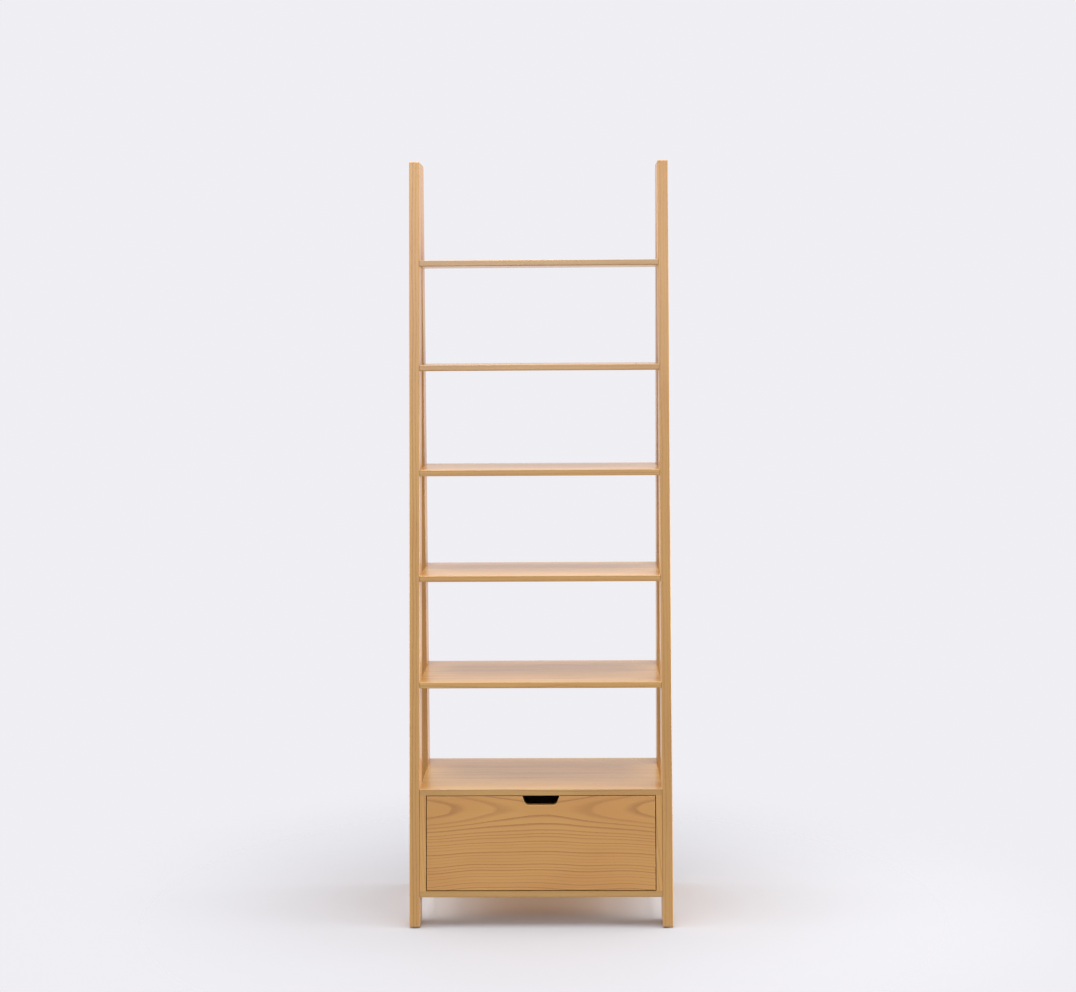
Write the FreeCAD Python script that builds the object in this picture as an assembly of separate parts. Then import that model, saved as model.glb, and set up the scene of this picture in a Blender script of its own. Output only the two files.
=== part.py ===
import FreeCAD, Part
import math
import os

from FreeCAD import Vector

# Ladder shelf: two vertical rear legs, two front legs that lean back against them,
# five open shelves that get shallower upwards, and a one-drawer cabinet at the bottom.
# Millimetres. X runs across, -Y is the front, +Z is up. The origin is on the floor,
# in the middle of the footprint.

os.makedirs("parts", exist_ok=True)

# ---------------------------------------------------------------- driving dimensions
overall_width = 650.0
overall_height = 1890.0
floor_depth = 410.0          # front of the front feet to the back of the rear legs

leg_width = 26.0             # across, along X
front_leg_depth = 76.0       # square to the leaning front face
rear_leg_depth = 76.0
leg_edge_radius = 2.5
seat_overlap = 9.0           # planed off the top of the front leg where it seats on the rear leg

board_thickness = 15.0       # shelves, cabinet top and cabinet bottom
board_edge_radius = 2.0
shelf_count = 5
leg_above_shelves = 248.0    # top shelf's upper face to the top of the legs
cabinet_top_height = 337.0   # top face of the cabinet top
cabinet_clearance = 75.0     # floor to the cabinet's underside

cabinet_side_thickness = 15.0
cabinet_back_thickness = 5.0
cabinet_back_inset = 10.0    # rear faces to the back panel's rear face
panel_groove_depth = 6.0
groove_clearance = 0.15      # each side of a panel in its groove

drawer_front_thickness = 18.0
drawer_front_gap = 2.0       # all round the inset front
drawer_side_thickness = 12.0
drawer_side_rise = 14.0      # drawer front's lower edge to the drawer sides' lower edge
drawer_side_drop = 34.0      # drawer front's upper edge to the drawer sides' upper edge
drawer_bottom_thickness = 5.0
drawer_bottom_rise = 10.0    # drawer sides' lower edge to the bottom panel
drawer_rear_clearance = 14.0
drawer_groove_depth = 5.0
drawer_edge_radius = 1.0

pull_top_width = 92.0        # finger cut-out in the drawer front's upper edge
pull_bottom_width = 76.0
pull_depth = 22.0
pull_corner_radius = 11.0

runner_length_step = 50.0    # runners come in lengths of this many millimetres
runner_height = 45.0
runner_width = 12.7          # cabinet side to drawer side
runner_sheet = 1.2
runner_front_setback = 6.0   # drawer front's rear face to the runners
runner_rise = 55.0           # drawer sides' lower edge to the runners' middle
runner_nesting = 1.2         # web to web, between the nested channels
middle_height = 35.0
inner_height = 24.6
ball_clearance = 0.25
cage_sheet = 0.4
cage_length = 80.0
cage_ball_count = 5
ball_hole_clearance = 0.3

glide_diameter = 17.0
glide_thickness = 3.0
glide_pin_diameter = 3.0
glide_pin_length = 14.0

bolt_diameter = 6.0
bolt_head_diameter = 11.0
bolt_head_height = 3.2
bolt_head_recess = 0.6       # leg face to the sunk head
bolt_socket_across = 4.0
bolt_past_nut = 3.0
nut_diameter = 10.0
nut_cover = 1.5              # shelf left above and below a barrel nut
nut_from_end = 28.0          # shelf end to the barrel nut's axis
hole_clearance = 0.2         # on the radius of every bolt, nut and pin hole
shelf_fixing_spread = 30.0   # bolt to dowel, along Y

dowel_diameter = 8.0
dowel_in_leg = 14.0
dowel_in_shelf = 24.0
dowel_in_board = 9.0
dowel_in_side = 22.0
cabinet_dowels_per_side = 3
small_dowel_diameter = 6.0
small_dowel_shallow = 8.0
small_dowel_deep = 20.0
seat_dowel_diameter = 8.0
seat_dowel_half_length = 22.0

screw_diameter = 4.0
screw_head_diameter = 8.0
screw_in_leg = 18.0
screw_from_board = 26.0      # cabinet top and bottom boards to the leg screws
runner_screw_diameter = 3.0
runner_screw_head = 6.0
runner_screw_bite = 9.0      # length in the wood
runner_screw_inset = 30.0    # runner end to its nearest screw

# ---------------------------------------------------------------- derived places
# The front leg leans so that its foot is at the front and its top just seats on the rear leg:
# lean * height = foot_to_seat - front_leg_depth * sqrt(1 + lean^2), solved for lean.
foot_to_seat = floor_depth - rear_leg_depth + seat_overlap
lean = ((foot_to_seat * overall_height
         - front_leg_depth * math.sqrt(foot_to_seat ** 2 + overall_height ** 2 - front_leg_depth ** 2))
        / (overall_height ** 2 - front_leg_depth ** 2))
slope_stretch = math.sqrt(1 + lean ** 2)
front_leg_run = front_leg_depth * slope_stretch          # leg depth measured along Y
drawer_front_run = drawer_front_thickness * slope_stretch

half_width = overall_width / 2
bay_half = half_width - leg_width                        # inner faces of the legs
rear_y = floor_depth / 2
seat_y = rear_y - rear_leg_depth                         # front face of the rear legs
leg_x = half_width - leg_width / 2

shelf_pitch = (overall_height - leg_above_shelves - cabinet_top_height) / shelf_count
shelf_tops = [cabinet_top_height + shelf_pitch * (shelf_count - i) for i in range(shelf_count)]
cabinet_under_top = cabinet_top_height - board_thickness
cabinet_floor = cabinet_clearance + board_thickness
cabinet_half = bay_half - cabinet_side_thickness         # inner faces of the cabinet sides
back_panel_y = rear_y - cabinet_back_inset - cabinet_back_thickness

drawer_low = cabinet_floor + drawer_front_gap
drawer_high = cabinet_under_top - drawer_front_gap
drawer_front_half = cabinet_half - drawer_front_gap
box_half = cabinet_half - runner_width                   # outer faces of the drawer sides
box_inner_half = box_half - drawer_side_thickness
box_low = drawer_low + drawer_side_rise
box_high = drawer_high - drawer_side_drop
box_rear_y = back_panel_y - drawer_rear_clearance
box_bottom_z = box_low + drawer_bottom_rise
runner_z = box_low + runner_rise


def front_y(z):
    """Front plane of the legs, shelves, cabinet and drawer at height z."""
    return -rear_y + lean * z


def drawer_back_of_front_y(z):
    return front_y(z) + drawer_front_run


runner_front_y = drawer_back_of_front_y(runner_z + runner_height / 2) + runner_front_setback
runner_room = box_rear_y - runner_front_y
runner_length = runner_length_step * math.floor(runner_room / runner_length_step)
nut_length = board_thickness - 2 * nut_cover


# ---------------------------------------------------------------- shape helpers
def prism_x(outline_yz, x_low, x_high):
    """Solid with an outline in the YZ plane, running from x_low to x_high."""
    corners = [Vector(x_low, y, z) for y, z in outline_yz]
    face = Part.Face(Part.makePolygon(corners + corners[:1]))
    return face.extrude(Vector(x_high - x_low, 0, 0))


def prism_y(outline_xz, y_low, y_high):
    """Solid with an outline in the XZ plane, running from y_low to y_high."""
    corners = [Vector(x, y_low, z) for x, z in outline_xz]
    face = Part.Face(Part.makePolygon(corners + corners[:1]))
    return face.extrude(Vector(0, y_high - y_low, 0))


def box(low, high):
    size = [b - a for a, b in zip(low, high)]
    return Part.makeBox(*size, Vector(*low))


def rod(radius, start, end):
    start, end = Vector(*start), Vector(*end)
    return Part.makeCylinder(radius, (end - start).Length, start, end - start)


def cone(radius_start, radius_end, start, end):
    start, end = Vector(*start), Vector(*end)
    return Part.makeCone(radius_start, radius_end, (end - start).Length, start, end - start)


def mirrored(shape):
    return shape.mirror(Vector(0, 0, 0), Vector(1, 0, 0))


def runs_along_x(edge):
    return abs(edge.tangentAt(edge.FirstParameter).x) > 0.999


def on_plane(edge, height):
    return all(abs(vertex.Z - height) < 1e-6 for vertex in edge.Vertexes)


def eased(shape, radius, wanted=lambda edge: True):
    return shape.makeFillet(radius, [edge for edge in shape.Edges if wanted(edge)])


def both_sides(name, right_shape):
    """A piece for each side of the shelf, the left one being the right one's mirror image."""
    save(name + "_right", right_shape)
    save(name + "_left", mirrored(right_shape))


def on_both_sides(right_shapes):
    return right_shapes + [mirrored(shape) for shape in right_shapes]


def save(name, shape):
    if isinstance(shape, list):
        shape = Part.makeCompound(shape)
    elif len(shape.Solids) == 1:
        shape = shape.Solids[0]
    if not shape.isValid():
        raise ValueError(name + " is not a valid shape")
    shape.exportStep("parts/" + name + ".step")


# ---------------------------------------------------------------- fixings, right-hand side
def front_leg_mid_y(z):
    return front_y(z) + front_leg_run / 2


def rear_leg_mid_y(z):
    return rear_y - rear_leg_depth / 2


leg_mid_y = {"front": front_leg_mid_y, "rear": rear_leg_mid_y}


def shelf_bolt_places():
    """Bolt axis of every shelf end, as (y, z)."""
    heights = [top - board_thickness / 2 for top in shelf_tops]
    return [(mid(z) - shelf_fixing_spread / 2, z) for z in heights for mid in leg_mid_y.values()]


def shelf_dowel_places():
    return [(y + shelf_fixing_spread, z) for y, z in shelf_bolt_places()]


bolt_head_x = half_width - bolt_head_recess - bolt_head_height
nut_x = bay_half - nut_from_end
bolt_end_x = nut_x - nut_diameter / 2 - bolt_past_nut


def shelf_bolt(y, z):
    shank = rod(bolt_diameter / 2, (bolt_end_x, y, z), (bolt_head_x, y, z))
    head = rod(bolt_head_diameter / 2, (bolt_head_x, y, z), (bolt_head_x + bolt_head_height, y, z))
    socket_radius = bolt_socket_across / math.sqrt(3)
    corners = [Vector(bolt_head_x + bolt_head_height / 3, y + socket_radius * math.cos(turn),
                      z + socket_radius * math.sin(turn))
               for turn in [math.radians(60 * i) for i in range(6)]]
    socket = Part.Face(Part.makePolygon(corners + corners[:1])).extrude(Vector(bolt_head_height, 0, 0))
    return shank.fuse(head).removeSplitter().cut(socket)


def shelf_bolt_hole(y, z):
    hole = rod(bolt_diameter / 2 + hole_clearance,
               (bolt_end_x - hole_clearance, y, z), (half_width, y, z))
    counterbore = rod(bolt_head_diameter / 2 + hole_clearance,
                      (bolt_head_x, y, z), (half_width + 1, y, z))
    return hole.fuse(counterbore)


def barrel_nut(y, z):
    body = rod(nut_diameter / 2, (nut_x, y, z - nut_length / 2), (nut_x, y, z + nut_length / 2))
    thread = rod(bolt_diameter / 2 + hole_clearance / 2,
                 (nut_x - nut_diameter, y, z), (nut_x + nut_diameter, y, z))
    slot_half, slot_deep = nut_diameter / 12, nut_length / 12
    slot = box((nut_x - nut_diameter, y - slot_half, z - nut_length / 2 - 1),
               (nut_x + nut_diameter, y + slot_half, z - nut_length / 2 + slot_deep))
    return body.cut(thread).cut(slot)


def barrel_nut_hole(y, z):
    """Drilled up from the shelf's underside."""
    return rod(nut_diameter / 2 + hole_clearance,
               (nut_x, y, z - board_thickness), (nut_x, y, z + nut_length / 2))


def shelf_dowel(y, z):
    return rod(dowel_diameter / 2, (bay_half - dowel_in_shelf, y, z), (bay_half + dowel_in_leg, y, z))


def seat_dowels():
    """Dowels across the planed seat where the front and rear legs meet."""
    seat_length = seat_overlap / lean
    heights = [overall_height - seat_length * share for share in (0.25, 0.7)]
    return [rod(seat_dowel_diameter / 2, (leg_x, seat_y - seat_dowel_half_length, z),
                (leg_x, seat_y + seat_dowel_half_length, z)) for z in heights]


def cabinet_dowels():
    """Upright dowels that hold the cabinet sides to the cabinet top and bottom."""
    x = bay_half - cabinet_side_thickness / 2
    dowels = []
    for joint_z, inward in ((cabinet_under_top, -1), (cabinet_floor, 1)):
        front = front_y(joint_z) + 2 * cabinet_side_thickness
        rear = back_panel_y - 2 * cabinet_side_thickness
        for i in range(cabinet_dowels_per_side):
            y = front + (rear - front) * i / (cabinet_dowels_per_side - 1)
            ends = sorted([joint_z - inward * dowel_in_board, joint_z + inward * dowel_in_side])
            dowels.append(rod(dowel_diameter / 2, (x, y, ends[0]), (x, y, ends[1])))
    return dowels


def countersunk_screw(radius, head_radius, mouth, point):
    """Screw whose flat head is flush at mouth, and whose end is at point."""
    mouth, point = Vector(*mouth), Vector(*point)
    along = (point - mouth).normalize()
    head_base = mouth + along * (head_radius - radius)
    head = cone(head_radius, radius, mouth, head_base)
    shank = rod(radius, head_base, point)
    return head.fuse(shank).removeSplitter()


def leg_screws():
    """Screws from inside the cabinet, through its sides into the legs."""
    heights = (cabinet_under_top - screw_from_board, cabinet_floor + screw_from_board)
    return [countersunk_screw(screw_diameter / 2, screw_head_diameter / 2,
                              (cabinet_half, mid(z), z), (bay_half + screw_in_leg, mid(z), z))
            for z in heights for mid in leg_mid_y.values()]


runner_screw_ys = [runner_front_y + runner_screw_inset, runner_front_y + runner_length - runner_screw_inset]


def runner_screws_to_cabinet():
    mouth_x = cabinet_half - runner_sheet
    return [countersunk_screw(runner_screw_diameter / 2, runner_screw_head / 2,
                              (mouth_x, y, runner_z), (cabinet_half + runner_screw_bite, y, runner_z))
            for y in runner_screw_ys]


def runner_screws_to_drawer():
    mouth_x = box_half + runner_sheet
    return [countersunk_screw(runner_screw_diameter / 2, runner_screw_head / 2,
                              (mouth_x, y, runner_z), (box_half - runner_screw_bite, y, runner_z))
            for y in runner_screw_ys]


def drawer_dowels():
    """Dowels from the drawer sides into the drawer front, and into the drawer back."""
    dowels = []
    side_x = box_half - drawer_side_thickness / 2
    height = box_high - box_low
    for share in (0.3, 0.8):
        z = box_low + height * share
        y = drawer_back_of_front_y(z)
        dowels.append(rod(small_dowel_diameter / 2, (side_x, y - small_dowel_shallow, z),
                          (side_x, y + small_dowel_deep, z)))
        y = box_rear_y - drawer_side_thickness / 2
        dowels.append(rod(small_dowel_diameter / 2, (box_inner_half - small_dowel_deep, y, z),
                          (box_inner_half + small_dowel_shallow, y, z)))
    return dowels


# ---------------------------------------------------------------- legs and glides
def glide_y(which):
    return leg_mid_y[which](glide_thickness)


def foot_glide(which):
    y = glide_y(which)
    disc = rod(glide_diameter / 2, (leg_x, y, 0), (leg_x, y, glide_thickness))
    disc = eased(disc, glide_thickness / 4, lambda edge: on_plane(edge, 0))
    pin = rod(glide_pin_diameter / 2, (leg_x, y, glide_thickness / 2),
              (leg_x, y, glide_thickness + glide_pin_length))
    return disc.fuse(pin).removeSplitter()


def glide_hole(which):
    y = glide_y(which)
    return rod(glide_pin_diameter / 2 + hole_clearance / 2, (leg_x, y, 0),
               (leg_x, y, glide_thickness + glide_pin_length + hole_clearance))


def leg_holes():
    bolts = [shelf_bolt_hole(y, z) for y, z in shelf_bolt_places()]
    dowels = [shelf_dowel(y, z) for y, z in shelf_dowel_places()]
    return bolts + dowels + seat_dowels() + leg_screws() + [glide_hole(which) for which in leg_mid_y]


def front_leg():
    low, high = glide_thickness, overall_height
    outline = [(front_y(low), low), (front_y(low) + front_leg_run, low),
               (front_y(high) + front_leg_run, high), (front_y(high), high)]
    leg = eased(prism_x(outline, bay_half, half_width), leg_edge_radius)
    behind_seat = box((bay_half - 1, seat_y, low), (half_width + 1, rear_y, high + 1))
    return leg.cut(behind_seat).cut(leg_holes())


def rear_leg():
    leg = box((bay_half, seat_y, glide_thickness), (half_width, rear_y, overall_height))
    return eased(leg, leg_edge_radius).cut(leg_holes())


# ---------------------------------------------------------------- shelves and cabinet
def board(top, open_faces):
    """Board between the legs, with its front edge in the leaning front plane.

    open_faces are the heights of its faces that show, whose long edges are rounded."""
    low = top - board_thickness
    outline = [(front_y(low), low), (rear_y, low), (rear_y, top), (front_y(top), top)]

    def shows(edge):
        return runs_along_x(edge) and any(on_plane(edge, height) for height in open_faces)

    return eased(prism_x(outline, -bay_half, bay_half), board_edge_radius, shows)


def shelf(top):
    low = top - board_thickness
    bolts = [place for place in shelf_bolt_places() if low < place[1] < top]
    dowels = [place for place in shelf_dowel_places() if low < place[1] < top]
    holes = [shelf_bolt_hole(y, z) for y, z in bolts] + [barrel_nut_hole(y, z) for y, z in bolts]
    holes += [shelf_dowel(y, z) for y, z in dowels]
    return board(top, (low, top)).cut(on_both_sides(holes))


def cabinet_back(margin=0.0):
    """Thin panel held in grooves on all four sides; a margin makes the tool for the grooves."""
    reach = panel_groove_depth - groove_clearance + margin
    return box((-cabinet_half - reach, back_panel_y - margin, cabinet_floor - reach),
               (cabinet_half + reach, back_panel_y + cabinet_back_thickness + margin,
                cabinet_under_top + reach))


def cabinet_board(top, outer_face):
    cuts = on_both_sides(cabinet_dowels()) + [cabinet_back(groove_clearance)]
    return board(top, (outer_face,)).cut(cuts)


def cabinet_side():
    low, high = cabinet_floor, cabinet_under_top
    outline = [(front_y(low), low), (rear_y, low), (rear_y, high), (front_y(high), high)]
    side = prism_x(outline, cabinet_half, bay_half)
    screws = leg_screws() + runner_screws_to_cabinet()
    return side.cut(cabinet_dowels() + screws + [cabinet_back(groove_clearance)])


# ---------------------------------------------------------------- drawer
def finger_pull():
    """Cut-out with sloping ends and rounded lower corners, open at the top."""
    low, high = drawer_high - pull_depth, drawer_high + pull_depth
    spread = (pull_top_width - pull_bottom_width) / 2 * (high - low) / pull_depth
    half_low, half_high = pull_bottom_width / 2, pull_bottom_width / 2 + spread
    outline = [(-half_low, low), (half_low, low), (half_high, high), (-half_high, high)]
    tool = prism_y(outline, front_y(low) - 1, front_y(high) + drawer_front_run + 1)
    return eased(tool, pull_corner_radius, lambda edge: on_plane(edge, low) and not runs_along_x(edge))


def drawer_bottom(margin=0.0):
    """Panel in grooves on all four sides; a margin makes the tool for the grooves."""
    reach = drawer_groove_depth - groove_clearance + margin
    low, high = box_bottom_z - margin, box_bottom_z + drawer_bottom_thickness + margin
    front = drawer_back_of_front_y(box_bottom_z) - reach
    rear = box_rear_y - drawer_side_thickness + reach
    return box((-box_inner_half - reach, front, low), (box_inner_half + reach, rear, high))


def drawer_front():
    low, high = drawer_low, drawer_high
    outline = [(front_y(low), low), (drawer_back_of_front_y(low), low),
               (drawer_back_of_front_y(high), high), (front_y(high), high)]
    blank = prism_x(outline, -drawer_front_half, drawer_front_half).cut(finger_pull())

    def on_front_face(edge):
        return all(abs(vertex.Y - front_y(vertex.Z)) < 1e-6 for vertex in edge.Vertexes)

    blank = eased(blank, drawer_edge_radius, on_front_face)
    return blank.cut(on_both_sides(drawer_dowels()) + [drawer_bottom(groove_clearance)])


def drawer_side():
    low, high = box_low, box_high
    outline = [(drawer_back_of_front_y(low), low), (box_rear_y, low), (box_rear_y, high),
               (drawer_back_of_front_y(high), high)]
    side = prism_x(outline, box_inner_half, box_half)
    side = eased(side, drawer_edge_radius, lambda edge: on_plane(edge, high) and not runs_along_x(edge))
    return side.cut(drawer_dowels() + runner_screws_to_drawer() + [drawer_bottom(groove_clearance)])


def drawer_back():
    panel = box((-box_inner_half, box_rear_y - drawer_side_thickness, box_low),
                (box_inner_half, box_rear_y, box_high))
    return panel.cut(on_both_sides(drawer_dowels()) + [drawer_bottom(groove_clearance)])


# ---------------------------------------------------------------- telescopic runners
def channel(web_x, toward, lip_x, height, sheet, length, front):
    """C-section along Y: its web starts at web_x, and its flanges reach lip_x."""
    x_low, x_high = sorted((web_x, lip_x))
    block = box((x_low, front, runner_z - height / 2), (x_high, front + length, runner_z + height / 2))
    inner_low, inner_high = sorted((web_x + toward * sheet, lip_x + toward))
    hollow = box((inner_low, front - 1, runner_z - height / 2 + sheet),
                 (inner_high, front + length + 1, runner_z + height / 2 - sheet))
    return block.cut(hollow)


outer_web_x = cabinet_half                     # flat on the cabinet side, open to the drawer
middle_web_x = outer_web_x - runner_sheet - runner_nesting
inner_web_x = box_half                         # flat on the drawer side, open to the cabinet


def outer_member():
    lip = inner_web_x + runner_sheet / 2
    member = channel(outer_web_x, -1, lip, runner_height, runner_sheet, runner_length, runner_front_y)
    return member.cut(runner_screws_to_cabinet())


def middle_member():
    lip = inner_web_x + runner_sheet + runner_nesting
    return channel(middle_web_x, -1, lip, middle_height, runner_sheet, runner_length, runner_front_y)


def inner_member():
    lip = middle_web_x - runner_sheet - runner_nesting
    member = channel(inner_web_x, 1, lip, inner_height, runner_sheet, runner_length, runner_front_y)
    return member.cut(runner_screws_to_drawer())


def ball_cage(outside_height, inside_height, web_x):
    """Cage between two nested channels, with a row of balls above and below."""
    lip_x = inner_web_x + runner_sheet + runner_nesting
    front = runner_front_y + (runner_length - cage_length) / 2
    gap = outside_height / 2 - runner_sheet - inside_height / 2
    track_z = inside_height / 2 + gap / 2
    ball_radius = gap / 2 - ball_clearance
    cage = channel(web_x, -1, lip_x, 2 * track_z + cage_sheet, cage_sheet, cage_length, front)
    ball_x = (web_x + lip_x) / 2
    balls = []
    for i in range(cage_ball_count):
        y = front + cage_length * (i + 0.5) / cage_ball_count
        for z in (runner_z - track_z, runner_z + track_z):
            hole = rod(ball_radius + ball_hole_clearance, (ball_x, y, z - gap), (ball_x, y, z + gap))
            cage = cage.cut(hole)
            balls.append(Part.makeSphere(ball_radius, Vector(ball_x, y, z)))
    return [cage] + balls


def outer_ball_cage():
    web_x = outer_web_x - runner_sheet - (runner_nesting - cage_sheet) / 2
    return ball_cage(runner_height, middle_height, web_x)


def inner_ball_cage():
    web_x = middle_web_x - runner_sheet - (runner_nesting - cage_sheet) / 2
    return ball_cage(middle_height, inner_height, web_x)


# ---------------------------------------------------------------- write every piece
both_sides("front_leg", front_leg())
both_sides("rear_leg", rear_leg())
for which in leg_mid_y:
    both_sides("foot_glide_" + which, foot_glide(which))

for number, top in enumerate(shelf_tops, start=1):
    save("shelf_" + str(number), shelf(top))
save("cabinet_top", cabinet_board(cabinet_top_height, cabinet_top_height))
save("cabinet_bottom", cabinet_board(cabinet_floor, cabinet_clearance))
both_sides("cabinet_side", cabinet_side())
save("cabinet_back", cabinet_back())

save("drawer_front", drawer_front())
both_sides("drawer_side", drawer_side())
save("drawer_back", drawer_back())
save("drawer_bottom", drawer_bottom())

both_sides("runner_outer", outer_member())
both_sides("runner_middle", middle_member())
both_sides("runner_inner", inner_member())
for name, solids in (("ball_cage_outer", outer_ball_cage()), ("ball_cage_inner", inner_ball_cage())):
    save(name + "_right", solids)
    save(name + "_left", [mirrored(solid) for solid in solids])

save("shelf_bolts", on_both_sides([shelf_bolt(y, z) for y, z in shelf_bolt_places()]))
save("barrel_nuts", on_both_sides([barrel_nut(y, z) for y, z in shelf_bolt_places()]))
save("shelf_dowels", on_both_sides([shelf_dowel(y, z) for y, z in shelf_dowel_places()]))
save("leg_seat_dowels", on_both_sides(seat_dowels()))
save("cabinet_dowels", on_both_sides(cabinet_dowels()))
save("leg_screws", on_both_sides(leg_screws()))
save("runner_screws_cabinet", on_both_sides(runner_screws_to_cabinet()))
save("runner_screws_drawer", on_both_sides(runner_screws_to_drawer()))
save("drawer_dowels", on_both_sides(drawer_dowels()))

print("lean", round(math.degrees(math.atan(lean)), 2), "degrees")
print("shelf tops", [round(top, 1) for top in shelf_tops])
print("runner front y", round(runner_front_y, 1), "drawer rear y", round(box_rear_y, 1))
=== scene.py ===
# %% [markdown]
# # A lacquered ash ladder shelf
#
# The shelf's shape is already settled: legs, boards, drawer and fixings come in as a fixed frame.
# What is left is what makes wood look like wood: the way each board was cut from its tree,
# the pores, the clear satin lacquer, the softened edges, and a quiet white studio to see it in.

# %% Load the frame
import math

import bmesh
import bpy
from mathutils import Matrix, Vector


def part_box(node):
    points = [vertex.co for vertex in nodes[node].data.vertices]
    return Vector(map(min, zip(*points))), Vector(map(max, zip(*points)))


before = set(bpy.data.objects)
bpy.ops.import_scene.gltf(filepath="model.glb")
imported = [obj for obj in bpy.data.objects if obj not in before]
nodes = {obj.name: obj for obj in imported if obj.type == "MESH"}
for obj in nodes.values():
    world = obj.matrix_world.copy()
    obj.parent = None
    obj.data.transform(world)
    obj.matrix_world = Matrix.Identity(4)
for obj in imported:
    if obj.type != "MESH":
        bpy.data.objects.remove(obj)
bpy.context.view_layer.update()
print("pieces in the frame:", len(nodes))

# %% [markdown]
# ## Measures taken from the frame
#
# The front legs lean, and so do the shelf edges and the drawer front. The lean isn't typed in:
# the front edges of the highest and lowest shelf give it. Grain follows it on the front legs.

# %% Measure the lean
shelf_names = sorted(name for name in nodes if name.startswith("shelf_") and name[6:].isdigit())
highest_low, highest_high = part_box(shelf_names[0])
lowest_low, lowest_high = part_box(shelf_names[-1])
lean = math.atan2(highest_low[1] - lowest_low[1], highest_high[2] - lowest_high[2])
ACROSS_ROOM = Vector((1, 0, 0))
BACKWARDS = Vector((0, 1, 0))
UP = Vector((0, 0, 1))
UP_THE_LEAN = Vector((0, math.sin(lean), math.cos(lean)))
print("lean of the front plane:", round(math.degrees(lean), 2), "degrees")

# %% [markdown]
# ## Small helpers for node trees
#
# A shader is easier to read as a list of sums than as a list of clicks. `feed` either links a socket
# or sets its value, so every later helper takes sockets and plain numbers alike.

# %% Node helpers
def feed(tree, target, source):
    if isinstance(source, bpy.types.NodeSocket):
        tree.links.new(source, target)
    else:
        target.default_value = source


def add_node(tree, kind, **settings):
    new = tree.nodes.new(kind)
    for name, value in settings.items():
        setattr(new, name, value)
    return new


def calc(tree, operation, *values, clamp=False):
    new = add_node(tree, "ShaderNodeMath", operation=operation, use_clamp=clamp)
    for socket, value in zip(new.inputs, values):
        feed(tree, socket, value)
    return new.outputs[0]


def vector_calc(tree, operation, *values, output=0):
    new = add_node(tree, "ShaderNodeVectorMath", operation=operation)
    for socket, value in zip(new.inputs, values):
        feed(tree, socket, value)
    return new.outputs[output]


def ramp(tree, value, from_low, from_high, to_low=0.0, to_high=1.0, smooth=True):
    new = add_node(tree, "ShaderNodeMapRange", clamp=True)
    new.interpolation_type = "SMOOTHSTEP" if smooth else "LINEAR"
    for socket, entry in zip(new.inputs, (value, from_low, from_high, to_low, to_high)):
        feed(tree, socket, entry)
    return new.outputs[0]


def join_xyz(tree, x, y, z):
    new = add_node(tree, "ShaderNodeCombineXYZ")
    for socket, value in zip(new.inputs, (x, y, z)):
        feed(tree, socket, value)
    return new.outputs[0]


def split_xyz(tree, vector):
    new = add_node(tree, "ShaderNodeSeparateXYZ")
    feed(tree, new.inputs[0], vector)
    return new.outputs[0], new.outputs[1], new.outputs[2]


def noise(tree, vector, seed, detail=2.0, roughness=0.5):
    """Noise at one lump per unit of the vector, so the vector carries the scale."""
    new = add_node(tree, "ShaderNodeTexNoise", noise_dimensions="4D")
    entries = {"Vector": vector, "W": seed, "Scale": 1.0, "Detail": detail, "Roughness": roughness}
    for name, entry in entries.items():
        feed(tree, new.inputs[name], entry)
    return new.outputs[0]


def stretched(tree, place, along_scale, cross_scale):
    """Place scaled so that noise read from it makes streaks along the grain."""
    return vector_calc(tree, "MULTIPLY", place, (along_scale, cross_scale, cross_scale))


def mix_colour(tree, factor, first, second, blend="MIX"):
    new = add_node(tree, "ShaderNodeMix", data_type="RGBA", blend_type=blend)
    feed(tree, new.inputs[0], factor)
    feed(tree, new.inputs[6], first)
    feed(tree, new.inputs[7], second)
    return new.outputs[2]


def new_group(name, inputs, outputs):
    """Empty node group; returns its tree, its input sockets by name, and its output node."""
    tree = bpy.data.node_groups.new(name, "ShaderNodeTree")
    kinds = {"vector": "NodeSocketVector", "value": "NodeSocketFloat", "colour": "NodeSocketColor"}
    for label, kind in inputs.items():
        tree.interface.new_socket(label, in_out="INPUT", socket_type=kinds[kind])
    for label, kind in outputs.items():
        tree.interface.new_socket(label, in_out="OUTPUT", socket_type=kinds[kind])
    entry = tree.nodes.new("NodeGroupInput")
    sockets = {label: entry.outputs[label] for label in inputs}
    return tree, sockets, tree.nodes.new("NodeGroupOutput")


def place_group(tree, group, **entries):
    """Puts a group in a tree; entry names use _ where the socket has a space."""
    new = add_node(tree, "ShaderNodeGroup", node_tree=group)
    for name, entry in entries.items():
        feed(tree, new.inputs[name.replace("_", " ")], entry)
    return new.outputs


print("node helpers ready")

# %% [markdown]
# ## Where a point lies in its board
#
# Wood has three directions: along the grain, across the face and through the thickness.
# Every wood effect works in those three, so the first group turns a place on the shelf into a place
# in the board, whichever way the board stands. Two axes are given and the third follows from them.

# %% Group: board place
def make_board_place():
    tree, inputs, out = new_group(
        "board_place",
        {"Point": "vector", "Middle": "vector", "Grain": "vector", "Face": "vector"},
        {"Place": "vector"})
    offset = vector_calc(tree, "SUBTRACT", inputs["Point"], inputs["Middle"])
    through_axis = vector_calc(tree, "CROSS_PRODUCT", inputs["Grain"], inputs["Face"])
    along = vector_calc(tree, "DOT_PRODUCT", offset, inputs["Grain"], output=1)
    across = vector_calc(tree, "DOT_PRODUCT", offset, inputs["Face"], output=1)
    through = vector_calc(tree, "DOT_PRODUCT", offset, through_axis, output=1)
    feed(tree, out.inputs["Place"], join_xyz(tree, along, across, through))
    return tree


board_place = make_board_place()
print("made", board_place.name)

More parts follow.
